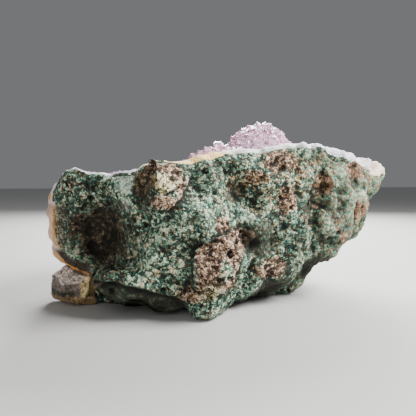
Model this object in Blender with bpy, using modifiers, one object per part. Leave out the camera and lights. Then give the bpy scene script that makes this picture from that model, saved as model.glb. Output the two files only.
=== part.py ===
"""Amethyst on matrix: a broken piece of a geode's wall that lies on its skin.

Green-skinned vesicular basalt carries a rind of agate, and the rind carries a crust of amethyst
crystals that rises into one mound. The stone's length runs along X, its weathered front faces -Y,
and the crystals face up and wrap down over the left end. The origin is on the surface that the
stone rests on, below its middle.
"""

import math
import random

import bmesh
import bpy
import numpy as np
from mathutils import Matrix, Vector
from mathutils.bvhtree import BVHTree

MM = 0.001

# Driving dimensions, in millimetres
HALF_LENGTH = 90.5
LAYER_GAP = 0.3
RIND_THICKNESS = 2.4
CRUST_THICKNESS = 1.6
CRUST_INSET = 5.0
BOWL_DEPTH = 11.0
BOWL_LIP = 0.06
BOWL_FOOT = 0.66

# The crystals: a close-set field of tips, and larger ones that stand out of it, in millimetres
TIP_SPACING = 7.0
TIP_HEIGHT = (1.6, 4.4)
TIP_LEAN = 0.9
LARGE_CRYSTALS = 9
LARGE_SPACING = 15.0
LARGE_RADIUS = (3.0, 4.8)
LARGE_STEM = (1.0, 3.0)
LARGE_TILT_DEG = 24
LARGE_FRONT = -12.0
TIP_FACE_LEAN_DEG = 38

# How finely the solids are faceted, in millimetres and faces
SKIN_VOXEL = 1.6
SKIN_FACES = 4100
SHEET_STEP = 12.0
SHEET_HALF_WIDTH = 62.0
FLAT_WITHIN_DEG = 0.5

# The stone's girth at places along its length, before its lumps and hollows:
# x, lowest z, highest z, front y, back y
GIRTH = (
    (-91, 13, 66, -13, 32),
    (-78, 9, 77, -27, 43),
    (-55, -3, 77, -40, 48),
    (-35, -4, 79, -45, 50),
    (-15, -4, 83, -43, 51),
    (5, -4, 94, -38, 51),
    (25, 0, 97, -35, 49),
    (45, 14, 92, -30, 44),
    (65, 26.5, 86, -23, 36),
    (79, 45, 80, -15, 26),
    (91, 55, 72, -8, 14),
)
GIRTH_SQUARENESS = 2.6
END_BLUNTNESS = 4.2

# Lumps that stand out of the main body: name, centre, radii
LUMPS = (
    ("rusty_knob", (-43, -38, 54), (10, 9, 11)),
    ("broken_block", (-22, -42, 23), (13, 8, 12)),
    ("front_foot", (-25, -37, 8), (12, 9, 10)),
    ("left_lump", (-77, 3, 6), (13, 14, 9)),
    ("belly_edge", (-50, -28, 13.5), (20, 14, 10)),
    ("belly_foot", (-42, -33, 8), (12, 9, 9)),
    ("back_foot", (22, 26, 9), (16, 14, 11)),
    ("back_knob", (-30, 46, 40), (14, 9, 13)),
)

# Bulges and hollows of the skin: name, from, to, radius, push
FOLDS = (
    ("left_hollow", (-67, -26, 38), (-65, -26, 30), 21, (3, 12, 0)),
    ("left_shoulder", (-80, -18, 56), (-60, -30, 56), 10, (-0.5, -3.5, 0)),
    ("belly", (-44, -44, 24), (-30, -46, 30), 20, (0, -4, 0)),
    ("block_crease", (-41, -50, 31), (-16, -48, 41), 5, (0, 3, 0)),
    ("block_hollow", (-8, -44, 33), (-6, -44, 30), 8, (-1, 6, 0)),
    ("upper_crease", (-14, -40, 58), (-4, -40, 46), 8, (0, 5.5, 0)),
    ("right_hollow", (32, -30, 56), (27, -33, 36), 8, (0, 6, 0)),
    ("right_bulge", (50, -24, 48), (38, -28, 26), 12, (0, -4, 0)),
    ("low_bulge", (10, -36, 20), (20, -30, 8), 10, (0, -3, 0)),
    ("under_hollow", (38, -20, 14), (56, -8, 22), 10, (-2, 4, 1)),
    ("back_hollow", (30, 50, 40), (10, 52, 30), 15, (0, -7, 0)),
    ("back_ridge", (-60, 46, 20), (-40, 50, 55), 9, (0, 4, 0)),
)

# Roughness of the skin: size of the lumps, height
SKIN_LUMPS = ((26, 1.6), (11, 1.1), (6, 0.6))

# The line where skin meets agate, seen from the front: x, z, from under the left end to the right
CONTACT = (
    (-73, -12),
    (-80, 3),
    (-83.5, 14),
    (-86.5, 25),
    (-88, 36),
    (-87.5, 48),
    (-84.5, 56),
    (-77, 61.5),
    (-64, 61.5),
    (-52, 60),
    (-41, 62.5),
    (-30, 63),
    (-20, 65.5),
    (-11, 70),
    (5, 72),
    (24, 73.5),
    (36, 71),
    (46, 67.5),
    (56, 69.5),
    (66, 65),
    (76, 61.5),
    (98, 60.5),
)
CORNER = 7
LEVEL_FROM = 5
END_SLANT = 0.6

# Rises of the crystal floor: centre x, centre y, width, height
MOUNDS = (
    (21, 6, 10.5, 17),
    (7, 8, 9, 8),
    (-76, -4, 9, -4),
    (-62, -8, 16, -4),
    (52, -2, 14, -4),
    (-20, -24, 8, 4.5),
    (-46, -46, 8, 4),
    (-52, 26, 14, 2.5),
)

# Places where the rind is thicker: centre x, centre y, width, extra thickness
RIND_SWELLS = (
    (-27, -32, 9, 2.4),
    (43, -22, 9, 4.4),
    (73, -8, 12, 5.4),
    (0, 44, 22, 3),
    (-82, -2, 9, 5.5),
)


def spline(knots, values, at):
    """A smooth curve through the knots, read at the places in at."""
    knots = np.asarray(knots, float)
    values = np.asarray(values, float)
    slopes = np.gradient(values, knots)
    at = np.clip(at, knots[0], knots[-1])
    i = np.clip(np.searchsorted(knots, at) - 1, 0, len(knots) - 2)
    step = knots[i + 1] - knots[i]
    t = (at - knots[i]) / step
    return (
        (2 * t**3 - 3 * t**2 + 1) * values[i]
        + (t**3 - 2 * t**2 + t) * step * slopes[i]
        + (3 * t**2 - 2 * t**3) * values[i + 1]
        + (t**3 - t**2) * step * slopes[i + 1]
    )


def signed_power(value, power):
    return np.sign(value) * np.abs(value) ** power


def get_points(mesh):
    points = np.empty(len(mesh.vertices) * 3)
    mesh.vertices.foreach_get("co", points)
    return points.reshape(-1, 3) / MM


def set_points(mesh, points):
    mesh.vertices.foreach_set("co", (points * MM).astype(np.float32).ravel())
    mesh.update()


def waves(points, size, seed):
    """Smooth bumps of about this size, from -1 to 1: turned sine waves, each bent by another."""
    rng = np.random.default_rng(seed)
    total = np.zeros(len(points))
    count = 5
    for _ in range(count):
        along = rng.normal(size=3)
        across = rng.normal(size=3)
        along *= 2 * math.pi / (size * np.linalg.norm(along))
        across *= 2 * math.pi / (1.7 * size * np.linalg.norm(across))
        bend = 1.3 * np.sin(points @ across + rng.uniform(0, 2 * math.pi))
        total += np.sin(points @ along + bend + rng.uniform(0, 2 * math.pi))
    return total / count**0.5


def clear_scene():
    for obj in list(bpy.data.objects):
        bpy.data.objects.remove(obj)


def collection(name, hidden=False):
    made = bpy.data.collections.new(name)
    bpy.context.scene.collection.children.link(made)
    made.hide_render = hidden
    return made


def add_object(name, mesh, home):
    obj = bpy.data.objects.new(name, mesh)
    home.objects.link(obj)
    if home.hide_render:
        obj.hide_render = True
        obj.display_type = "WIRE"
    return obj


def evaluated_mesh(obj):
    """The object's mesh with its modifiers applied."""
    bpy.context.view_layer.update()
    return bpy.data.meshes.new_from_object(obj.evaluated_get(bpy.context.evaluated_depsgraph_get()))


def girth_at(x):
    """Lowest z, highest z, front y and back y of the plain body at x."""
    places, *sides = np.array(GIRTH, float).T
    return [spline(places, side, x) for side in sides]


def body_points(sphere, shrink):
    """Carries points of a unit sphere onto the stone's girth, or to shrink millimetres inside it."""
    along = signed_power(sphere[:, 0], 2 / END_BLUNTNESS) * (HALF_LENGTH - shrink)
    ring = np.clip(1 - sphere[:, 0] ** 2, 0, 1) ** (1 / END_BLUNTNESS)
    turn = np.arctan2(sphere[:, 2], sphere[:, 1])
    low, high, front, back = girth_at(along)
    across = signed_power(np.cos(turn), 2 / GIRTH_SQUARENESS) * ring
    upward = signed_power(np.sin(turn), 2 / GIRTH_SQUARENESS) * ring
    y = (front + back) / 2 + across * ((back - front) / 2 - shrink)
    z = (low + high) / 2 + upward * ((high - low) / 2 - shrink)
    return np.stack([along, y, z], axis=1)


def make_body(name, home, shrink=0.0, subdivisions=6):
    bm = bmesh.new()
    bmesh.ops.create_icosphere(bm, subdivisions=subdivisions, radius=1)
    mesh = bpy.data.meshes.new(name)
    bm.to_mesh(mesh)
    bm.free()
    sphere = get_points(mesh) * MM
    sphere /= np.linalg.norm(sphere, axis=1)[:, None]
    set_points(mesh, body_points(sphere, shrink))
    return add_object(name, mesh, home)


def add_lumps(mesh):
    bm = bmesh.new()
    bm.from_mesh(mesh)
    for _, centre, radii in LUMPS:
        place = Matrix.LocRotScale(Vector(centre) * MM, None, Vector(radii) * MM)
        bmesh.ops.create_icosphere(bm, subdivisions=4, radius=1, matrix=place)
    bm.to_mesh(mesh)
    bm.free()


def fold_skin(points):
    """Pushes the skin out and in along each of FOLDS, most at its middle line."""
    moved = points.copy()
    for _, start, end, radius, push in FOLDS:
        start, end = np.array(start, float), np.array(end, float)
        line = end - start
        share = np.clip((points - start) @ line / (line @ line), 0, 1)
        away = np.linalg.norm(points - start - share[:, None] * line, axis=1) / radius
        moved += (np.clip(1 - away**2, 0, 1) ** 2)[:, None] * np.array(push, float)
    return moved


def roughen_skin(mesh, points):
    normals = np.empty(len(mesh.vertices) * 3)
    mesh.vertices.foreach_get("normal", normals)
    height = sum(
        height * waves(points, size, seed) for seed, (size, height) in enumerate(SKIN_LUMPS)
    )
    return points + normals.reshape(-1, 3) * height[:, None]


def cut_flat(mesh):
    """Cuts off what reaches below the surface that the stone rests on, so that its feet are flat."""
    bm = bmesh.new()
    bm.from_mesh(mesh)
    everything = bm.verts[:] + bm.edges[:] + bm.faces[:]
    cut = bmesh.ops.bisect_plane(
        bm, geom=everything, dist=1e-6, plane_co=(0, 0, 0), plane_no=(0, 0, -1), clear_outer=True
    )
    rims = [edge for edge in cut["geom_cut"] if isinstance(edge, bmesh.types.BMEdge)]
    bmesh.ops.edgeloop_fill(bm, edges=rims)
    bmesh.ops.triangulate(bm, faces=bm.faces[:])
    bmesh.ops.recalc_face_normals(bm, faces=bm.faces[:])
    bm.to_mesh(mesh)
    bm.free()


def make_stone(home):
    """The whole outside of the stone, agate rim included, as one closed mesh."""
    stone = make_body("whole_stone", home)
    add_lumps(stone.data)
    remesh = stone.modifiers.new("one_skin", "REMESH")
    remesh.mode = "VOXEL"
    remesh.voxel_size = SKIN_VOXEL * MM
    smooth = stone.modifiers.new("soften_joins", "SMOOTH")
    smooth.iterations = 3
    stone.data = evaluated_mesh(stone)
    stone.modifiers.clear()
    points = get_points(stone.data)
    set_points(stone.data, fold_skin(points))
    points = get_points(stone.data)
    set_points(stone.data, roughen_skin(stone.data, points))
    coarser = stone.modifiers.new("coarser", "DECIMATE")
    coarser.ratio = SKIN_FACES / (2 * len(stone.data.polygons))
    stone.data = evaluated_mesh(stone)
    stone.modifiers.clear()
    cut_flat(stone.data)
    return stone


def contact_path():
    """x, z and distance along the line where skin meets agate."""
    x, z = np.array(CONTACT, float).T
    distance = np.concatenate([[0], np.cumsum(np.hypot(np.diff(x), np.diff(z)))])
    return x, z, distance


def bell(x, y, centre_x, centre_y, width):
    return np.exp(-((x - centre_x) ** 2 + (y - centre_y) ** 2) / (2 * width**2))


def bowl(x, y):
    """How far the crystals' floor falls below the rim: not at all at the rim, then to its depth."""
    _, _, front, back = girth_at(x)
    across = (2 * y - front - back) / (back - front)
    blunt = END_BLUNTNESS
    outward = (np.abs(x / HALF_LENGTH) ** blunt + np.abs(across) ** blunt) ** (1 / blunt)
    share = np.clip((1 - BOWL_LIP - outward) / (BOWL_FOOT - BOWL_LIP), 0, 1)
    return BOWL_DEPTH * share * (2 - share)


def contact_at(s, y):
    """The point of the skin's contact with the agate at distance s along the line, at depth y."""
    path_x, path_z, distance = contact_path()
    x = spline(distance, path_x, s)
    z = spline(distance, path_z, s)
    wrap = np.clip(1 - (s - distance[CORNER]) / (0.6 * (distance[-1] - distance[CORNER])), 0, 1)
    x = x + END_SLANT * (y + 10) * wrap * np.interp(s, distance[[0, 3]], [0.1, 1])
    level = np.clip((s - distance[LEVEL_FROM]) / 20, 0, 1)
    rise = -bowl(x, y)
    for centre_x, centre_y, width, height in MOUNDS:
        rise = rise + height * bell(x, y, centre_x, centre_y, width)
    return np.stack([x, y, z + level * rise], axis=-1)


def contact_normal(s, y):
    step = 0.5
    along = contact_at(s + step, y) - contact_at(s - step, y)
    across = contact_at(s, y + step) - contact_at(s, y - step)
    normal = np.cross(along, across)
    return normal / np.linalg.norm(normal, axis=-1)[..., None]


def rind_thickness(point):
    x, y = point[..., 0], point[..., 1]
    thickness = np.full(x.shape, RIND_THICKNESS)
    for centre_x, centre_y, width, extra in RIND_SWELLS:
        thickness += extra * bell(x, y, centre_x, centre_y, width)
    return thickness


def above_contact(s, y, height):
    return contact_at(s, y) + contact_normal(s, y) * np.asarray(height)[..., None]


def above_rind(s, y, height):
    return above_contact(s, y, rind_thickness(contact_at(s, y)) + height)


def sheet(bm, spacing, shape):
    """A triangulated sheet over the whole contact, whose every other row is moved half a step.

    shape takes the rows' and columns' numbers and the places (s, y), and gives the points.
    """
    length = contact_path()[2][-1]
    columns = round((length - 4) / spacing)
    rows = round(2 * SHEET_HALF_WIDTH / (spacing * math.sqrt(0.75)))
    grid = bmesh.ops.create_grid(bm, x_segments=columns, y_segments=rows, size=1)
    verts = grid["verts"]
    place = np.array([vert.co[:2] for vert in verts])
    column = np.rint((place[:, 0] + 1) / 2 * columns).astype(int)
    row = np.rint((place[:, 1] + 1) / 2 * rows).astype(int)
    faces = list({face for vert in verts for face in vert.link_faces})
    row_of = dict(zip(verts, row))
    for parity, method in ((0, "ALTERNATE"), (1, "FIXED")):
        chosen = [face for face in faces if min(row_of[vert] for vert in face.verts) % 2 == parity]
        bmesh.ops.triangulate(bm, faces=chosen, quad_method=method)
    s = 2 + (length - 4) * (column + 0.5 * (row % 2)) / (columns + 0.5)
    y = SHEET_HALF_WIDTH * (2 * row / rows - 1)
    for vert, point in zip(verts, shape(row, column, s, y)):
        vert.co = Vector(point) * MM
    return verts


def layer(name, home, low, high, spacing=SHEET_STEP, low_spacing=SHEET_STEP):
    """A closed slab between two sheets, each given by a function of the places (s, y)."""
    bm = bmesh.new()
    rims = []
    for shape, step in ((low, low_spacing), (high, spacing)):
        verts = sheet(bm, step, shape)
        rims += list({edge for vert in verts for edge in vert.link_edges if edge.is_boundary})
    bmesh.ops.bridge_loops(bm, edges=rims)
    bmesh.ops.triangulate(bm, faces=bm.faces[:])
    bmesh.ops.recalc_face_normals(bm, faces=bm.faces[:])
    mesh = bpy.data.meshes.new(name)
    bm.to_mesh(mesh)
    bm.free()
    return add_object(name, mesh, home)


def contact_sheet(height):
    return lambda row, column, s, y: above_contact(s, y, np.full(s.shape, float(height)))


def rind_sheet(height):
    return lambda row, column, s, y: above_rind(s, y, np.full(s.shape, float(height)))


def sky_sheet(reach):
    """The contact carried far outside the stone: up over its top, and sideways off its left end."""

    def shape(row, column, s, y):
        distance = contact_path()[2]
        turn = np.radians(np.interp(s, [0, distance[3], distance[8]], [-35, 5, 90]))
        away = np.stack([-np.cos(turn), np.zeros(s.shape), np.sin(turn)], axis=-1)
        return contact_at(s, y) + away * reach

    return shape


def tips_sheet(row, column, s, y):
    """A field of crystal tips: one point in three of the sheet is raised above its six neighbours."""
    rng = np.random.default_rng(11)
    is_tip = (column - (row - row % 2) // 2 - row) % 3 == 0
    drift = 1.3 * np.sin(s / 7 + 1.9 * np.sin(y / 11))
    s = s + drift + rng.uniform(-0.5, 0.5, s.shape)
    y = y + 1.3 * np.sin(y / 6 + 1.7 * np.sin(s / 13)) + rng.uniform(-0.5, 0.5, s.shape)
    tallness = rng.uniform(*TIP_HEIGHT, s.shape)
    height = np.where(is_tip, tallness, rng.uniform(-0.3, 0.3, s.shape))
    lean = np.where(is_tip, TIP_LEAN, 0.0)[:, None] * rng.uniform(-1, 1, (len(s), 3))
    return above_rind(s, y, LAYER_GAP + CRUST_THICKNESS + height) + lean


def boolean(obj, operation, other, crosses_itself=False):
    modifier = obj.modifiers.new(f"{operation.lower()}_{other.name}", "BOOLEAN")
    modifier.operation = operation
    modifier.object = other
    modifier.solver = "EXACT"
    modifier.use_self = crosses_itself


def merge_flat_faces(obj):
    """Joins the pieces that a Boolean leaves of one flat face."""
    modifier = obj.modifiers.new("merge_flat_faces", "DECIMATE")
    modifier.decimate_type = "DISSOLVE"
    modifier.angle_limit = math.radians(FLAT_WITHIN_DEG)


def keep_main_body(obj):
    """Applies the modifiers, and takes away the loose chips that the Booleans leave at the rim."""
    bm = bmesh.new()
    bm.from_mesh(evaluated_mesh(obj))
    obj.modifiers.clear()
    unseen = set(bm.verts)
    bodies = []
    while unseen:
        front = [unseen.pop()]
        body = list(front)
        while front:
            near = {edge.other_vert(vert) for vert in front for edge in vert.link_edges}
            front = list(near & unseen)
            unseen.difference_update(front)
            body += front
        bodies.append(body)
    bodies.sort(key=len)
    for body in bodies[:-1]:
        bmesh.ops.delete(bm, geom=body, context="VERTS")
    bm.to_mesh(obj.data)
    bm.free()


def crystal(bm, radius, stem, place, rng):
    """One quartz crystal: a six-sided stem cut to a point by six faces, three of them larger."""
    point_height = 1.1 * radius
    top = stem + point_height
    made = bmesh.ops.create_cone(
        bm, cap_ends=True, segments=6, radius1=radius * MM, radius2=radius * MM, depth=4 * top * MM
    )
    for vert in made["verts"]:
        vert.co.z = (2 * top if vert.co.z > 0 else -CRUST_THICKNESS) * MM
    lean = math.radians(TIP_FACE_LEAN_DEG)
    faces = list({face for vert in made["verts"] for face in vert.link_faces})
    for side in range(6):
        turn = math.radians(60 * side + 30)
        share = rng.uniform(0.9, 1.0) if side % 2 else rng.uniform(0.95, 1.25)
        flat = Vector((math.cos(turn) * math.cos(lean), math.sin(turn) * math.cos(lean), math.sin(lean)))
        cut = bmesh.ops.bisect_plane(
            bm,
            geom=list({part for face in faces for part in (*face.verts, *face.edges, face)}),
            dist=1e-7,
            plane_co=(0, 0, (stem + point_height * share) * MM),
            plane_no=flat,
            clear_outer=True,
        )
        rim = [part for part in cut["geom_cut"] if isinstance(part, bmesh.types.BMEdge)]
        faces = [part for part in cut["geom"] if isinstance(part, bmesh.types.BMFace) and part.is_valid]
        if len(rim) > 2:
            faces += bmesh.ops.contextual_create(bm, geom=rim)["faces"]
    bmesh.ops.transform(bm, matrix=place, verts=list({vert for face in faces for vert in face.verts}))


def inside(tree, point, margin):
    """Whether the point lies inside the closed surface, at least this far from it."""
    nearest, normal, _, distance = tree.find_nearest(point)
    return (point - nearest).dot(normal) < 0 and distance > margin


def standing(axis, tilt, rng):
    """The turn that stands a crystal along the axis, tilted to one side and spun."""
    sideways = axis.orthogonal().normalized()
    sideways.rotate(Matrix.Rotation(rng.uniform(0, 2 * math.pi), 3, axis))
    tilted = axis.copy()
    tilted.rotate(Matrix.Rotation(tilt, 3, sideways))
    spin = Matrix.Rotation(rng.uniform(0, math.pi / 3), 4, "Z")
    return tilted.to_track_quat("Z", "Y").to_matrix().to_4x4() @ spin


def large_crystals(home, room):
    """Separate larger crystals, rooted in the crust, inside the room that is left for them."""
    rng = random.Random(7)
    tree = BVHTree.FromObject(room, bpy.context.evaluated_depsgraph_get())
    length = contact_path()[2][-1]
    bm = bmesh.new()
    feet = []
    while len(feet) < LARGE_CRYSTALS:
        s = np.array(rng.uniform(4, length - 4))
        y = np.array(rng.uniform(LARGE_FRONT, SHEET_HALF_WIDTH))
        foot = Vector(above_rind(s, y, LAYER_GAP + CRUST_THICKNESS)) * MM
        near = any((foot - other).length < LARGE_SPACING * MM for other in feet)
        if near or not inside(tree, foot, LARGE_RADIUS[1] * MM):
            continue
        feet.append(foot)
        tilt = math.radians(rng.uniform(0, LARGE_TILT_DEG))
        turned = standing(Vector(contact_normal(s, y)), tilt, rng)
        radius = rng.uniform(*LARGE_RADIUS)
        crystal(bm, radius, rng.uniform(*LARGE_STEM), Matrix.Translation(foot) @ turned, rng)
    bmesh.ops.triangulate(bm, faces=bm.faces[:])
    bmesh.ops.recalc_face_normals(bm, faces=bm.faces[:])
    mesh = bpy.data.meshes.new("large_crystals")
    bm.to_mesh(mesh)
    bm.free()
    return add_object("large_crystals", mesh, home)


def material(name, colour, roughness, transmission=0.0):
    made = bpy.data.materials.new(name)
    made.use_nodes = True
    shader = made.node_tree.nodes["Principled BSDF"]
    shader.inputs["Base Color"].default_value = (*colour, 1)
    shader.inputs["Roughness"].default_value = roughness
    shader.inputs["Metallic"].default_value = 0
    shader.inputs["IOR"].default_value = 1.54
    shader.inputs["Transmission Weight"].default_value = transmission
    return made


def centre(parts, everything):
    """Hangs everything on one empty, and moves that so that the parts' box is centred on the origin."""
    corners = []
    for part in parts:
        corners.append(get_points(evaluated_mesh(part)))
    corners = np.concatenate(corners)
    middle = (corners.min(axis=0) + corners.max(axis=0)) / 2
    empty = bpy.data.objects.new("resting_place", None)
    bpy.context.scene.collection.objects.link(empty)
    for obj in everything:
        obj.parent = empty
    empty.location = Vector((-middle[0], -middle[1], 0)) * MM
    bpy.context.view_layer.update()


def main():
    clear_scene()
    specimen = collection("amethyst_on_matrix")
    cutters = collection("cutters", hidden=True)
    stone = make_stone(cutters)
    room = make_body("room_for_crystals", cutters, shrink=CRUST_INSET, subdivisions=4)
    half_gap = LAYER_GAP / 2
    hollow = layer("hollow_over_skin", cutters, contact_sheet(-half_gap), sky_sheet(110))
    rind = layer("agate_rind", specimen, contact_sheet(half_gap), rind_sheet(0))
    crust = layer("amethyst_crust", specimen, contact_sheet(-3), tips_sheet, TIP_SPACING / math.sqrt(3))
    under = layer("rind_under_crust", cutters, contact_sheet(-6), rind_sheet(LAYER_GAP))
    skin = add_object("basalt_matrix", stone.data.copy(), specimen)
    boolean(skin, "DIFFERENCE", hollow)
    boolean(rind, "INTERSECT", stone)
    boolean(crust, "INTERSECT", room, crosses_itself=True)
    boolean(crust, "UNION", large_crystals(cutters, room))
    boolean(crust, "DIFFERENCE", under)
    for part in (skin, rind, crust):
        merge_flat_faces(part)
    for part in (skin, rind, crust):
        keep_main_body(part)
    skin.data.materials.append(material("green_skinned_basalt", (0.14, 0.24, 0.2), 0.9))
    rind.data.materials.append(material("agate", (0.62, 0.6, 0.58), 0.35))
    crust.data.materials.append(material("amethyst", (0.5, 0.3, 0.6), 0.1, 0.6))
    centre((skin, rind, crust), [*specimen.objects, *cutters.objects])


if __name__ == "__main__":
    main()
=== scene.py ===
import math
import random

import bpy
import numpy as np
from bpy.props import FloatProperty, FloatVectorProperty, IntProperty, PointerProperty
from mathutils import Matrix, Vector, noise
from mathutils.bvhtree import BVHTree
from mathutils.kdtree import KDTree


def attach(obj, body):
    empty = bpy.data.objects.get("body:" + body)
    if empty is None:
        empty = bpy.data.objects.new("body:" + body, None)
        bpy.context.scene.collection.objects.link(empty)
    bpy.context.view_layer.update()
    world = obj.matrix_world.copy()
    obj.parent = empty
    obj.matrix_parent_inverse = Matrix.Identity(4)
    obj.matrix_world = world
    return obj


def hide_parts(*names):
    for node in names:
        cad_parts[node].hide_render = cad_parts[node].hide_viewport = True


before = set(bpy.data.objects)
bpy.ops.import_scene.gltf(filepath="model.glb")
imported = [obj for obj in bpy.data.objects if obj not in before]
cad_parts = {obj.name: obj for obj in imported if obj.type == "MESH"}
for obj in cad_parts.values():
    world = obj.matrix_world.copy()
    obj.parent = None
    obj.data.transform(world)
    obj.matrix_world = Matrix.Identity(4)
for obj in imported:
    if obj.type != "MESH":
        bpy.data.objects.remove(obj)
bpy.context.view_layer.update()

bl_info = {
    "name": "Amethyst on matrix",
    "version": (1, 0, 0),
    "blender": (4, 5, 0),
    "location": "View3D > Sidebar > Stone",
    "description": "A half geode: green-skinned basalt, its agate band and its amethyst crystals",
    "category": "Object",
}

BODY = "root"
MM = 0.001


def linear(code):
    """An sRGB hex colour as linear red, green and blue."""
    parts = [int(code[i:i + 2], 16) / 255 for i in (1, 3, 5)]
    return tuple(c / 12.92 if c <= 0.04045 else ((c + 0.055) / 1.055) ** 2.4 for c in parts)


# The photograph is 416 pixels wide; its view was found from the stone's outline.
PICTURE_PX = 416
CAMERA_FOCUS_PX = 450
CAMERA_PLACE = (-76.3, -220.6, 56.3)
CAMERA_TURN = 16
CAMERA_DIP = 3.3

# Sizes on the stone's front, in millimetres: x runs along its length and z up.
# A patch is (x, z, half width, half height, strength).
PATCHES = {
    "brown": (
        (-42, 60.5, 5, 3, 0.9), (-52, 57, 3, 7, 0.7), (-38, 55, 2.6, 4.5, 0.8),
        (-45, 48.5, 5.5, 2.6, 1.0), (-20.5, 39, 3.6, 3.4, 1.0), (8.5, 65.5, 8.5, 5, 1.0),
        (-3.5, 58, 5.5, 4.5, 0.7), (12.5, 49, 4.5, 6, 0.95), (34, 55.5, 5, 4, 1.0),
        (53.5, 62, 7, 4.5, 0.85), (57, 42.5, 5.5, 4.5, 0.9), (6, 18, 8, 4.5, 1.0),
        (-33.5, 11, 5, 3.5, 0.8), (45, 30, 6, 4, 0.6), (24, 39, 3, 4, 0.5), (68, 56, 4, 4, 0.6),
        (20, 60, 4, 3, 0.5), (66, 47, 4, 3, 0.5), (31, 47, 3, 4, 0.6), (-74, 45, 5, 4, 0.3),
        (-54, 31, 2.6, 3.6, 0.4), (40, 38, 3, 5, 0.5), (-77, 38, 5, 6, 0.6),
        (-56.5, 38, 2.5, 7, 0.35), (-67, 33, 10, 13, 0.7), (-80, 55, 5, 4, 0.45),
        (-49.5, 62.5, 3.4, 3, 1.0),
    ),
    "pale": (
        (-54, 23.5, 5.5, 6.5, 0.9), (-26, 12.5, 4.5, 3, 0.6), (-21, 21.5, 4, 3.4, 0.8),
        (59, 49.5, 7, 6, 0.8), (19, 20, 2.6, 6, 0.35), (-38, 24, 5, 7, 0.5),
        (-26, 50, 9, 5, 0.7), (16, 54, 9, 7, 0.4), (-4, 24, 6, 3, 0.3),
        (-80, 25, 3.6, 4.5, 0.5), (76, 58, 5, 5, 0.5), (30, 36, 6, 4, 0.5), (46, 46, 8, 8, 0.5),
        (-1, 46, 7, 5, 0.5), (10, 31, 6, 4, 0.3), (-44, 38, 9, 3, 0.4), (-22, 44, 8, 5, 0.6),
        (40, 60, 9, 5, 0.4), (-58.5, 55, 3, 5, 0.5), (-42.5, 55, 7, 6, 0.6),
    ),
    # Dark patches: mostly painted shade in the hollow at the left end, in holes and creases, on the
    # knob's left face and on the underside; a few are darker skin.
    "dark": (
        (-67, 33, 10.5, 13.5, 1.05), (-77, 36, 6, 9, 0.75), (-59, 31, 4, 9, 0.5),
        (8.5, 6.5, 7, 4, 1.2), (34, 14, 8, 5, 1.2), (14, 12, 5, 6, 0.5), (-23.5, 60, 8, 5, 0.5),
        (-13, 51, 5.5, 4.5, 0.6), (-1.5, 31.2, 7.5, 7, 1.3), (25, 45.5, 3.4, 3.4, 1.35),
        (27, 51, 2, 5, 0.9), (-34, 42, 8, 2, 0.6), (-44, 32, 8, 2, 0.5), (-51.5, 55, 3, 8, 1.0),
        (-72, 55, 7, 2.6, 0.35), (-56, 41, 1.8, 1.8, 1.0), (-51, 39, 1.4, 1.4, 1.0),
        (38, 44, 2.6, 7, 0.4), (-29, 33, 5, 1.4, 0.7), (-24, 17, 3, 1.6, 0.8),
        (-66, 17, 9, 2.5, 0.5),
    ),
    "rust": (
        (-12, 54, 7, 5, 0.8), (-51, 57, 4, 7, 0.9), (-5, 35, 6, 6, 0.4), (22, 60, 12, 8, 0.5),
        (-4, 17, 5, 4, 0.5), (5, 55, 14, 9, 0.45), (-45, 8, 12, 4, 0.5),
        (-73, 8.5, 2.6, 5, 1.0), (-82, 2, 5, 2, 0.6), (30, 56, 8, 8, 0.4), (62, 44, 8, 8, 0.35),
        (-62, 22, 3, 5, 0.3),
    ),
    "cream": (
        (-45, 55.5, 4.2, 4, 1.0), (-26, 12.5, 3.2, 3.2, 1.0), (-20.5, 24.5, 1.4, 1.2, 1.0),
        (-4.5, 44, 3, 2, 0.6), (18, 57, 2, 3, 0.6), (58, 36, 4, 3, 0.5), (2, 21, 2.4, 3, 0.5),
        (-47, 20, 1.6, 1.6, 0.8), (-57, 26, 1.6, 2.4, 0.6), (-41, 21, 1.6, 1.6, 0.7),
    ),
    "bloom": (
        (-58.5, 55.5, 3, 4.4, 1.0), (-58, 47, 2.4, 3.4, 0.6), (-40, 22.5, 2.6, 2.6, 0.3),
        (18, 17, 1.6, 5, 0.25), (60, 50, 3.4, 3.4, 0.5),
    ),
}
# Where the front's tables don't reach, patches come from a pattern: its size in millimetres,
# the seed, the values between which it fades in, and its strength.
SPREADS = {
    "brown": (13, 2, 0.12, 0.45, 0.9), "pale": (12, 5, 0.1, 0.6, 0.6),
    "dark": (18, 8, 0.05, 0.5, 0.6), "rust": (11, 4, 0.1, 0.6, 0.6),
    "cream": (9, 13, 0.35, 0.6, 0.8), "bloom": (10, 17, 0.35, 0.7, 0.6),
}
# Outlines of the forms on the front, each a closed row of (x, z).
BLOCK_OUTLINE = (
    (-33.4, 25), (-32.3, 29), (-28.8, 32.3), (-24.5, 34.3), (-19.5, 35), (-15.8, 36.6), (-12, 37),
    (-5.5, 35.6), (-3.4, 33), (-7, 29.2), (-12, 27.6), (-14.8, 24), (-16, 19.5), (-17.8, 14.5),
    (-22, 12.6), (-27, 14), (-31, 12.6), (-33, 17), (-32.2, 21),
)
KNOB_OUTLINE = (
    (-54, 59), (-51, 63), (-49, 64.8), (-46.5, 63.4), (-40, 63), (-36, 61), (-33.5, 59.5),
    (-35.5, 55), (-37.5, 50.5), (-40, 47), (-45, 46), (-50, 45.6), (-53.5, 48.5), (-54.6, 54),
)
SLAB_OUTLINE = (
    (-71, 16.5), (-62, 16.5), (-54, 14.5), (-46, 12), (-38, 10), (-34, 7), (-33, -3), (-78, -3),
    (-74, 3),
)
# Gas holes as (x, z, radius, depth).
HOLES = (
    (-56, 41, 1.9, 2.6), (-51, 39, 1.4, 2.0), (-19.8, 27.5, 2.0, 3.2), (-29.7, 14.5, 1.4, 2.2),
    (-14.5, 31.5, 1.4, 1.8), (-65, 38, 1.2, 1.5), (14, 45, 1.3, 1.6), (-24.5, 18, 1.8, 1.6),
    (25, 45.5, 2.6, 3.6), (27.2, 51.5, 1.6, 2.4),
)
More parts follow.
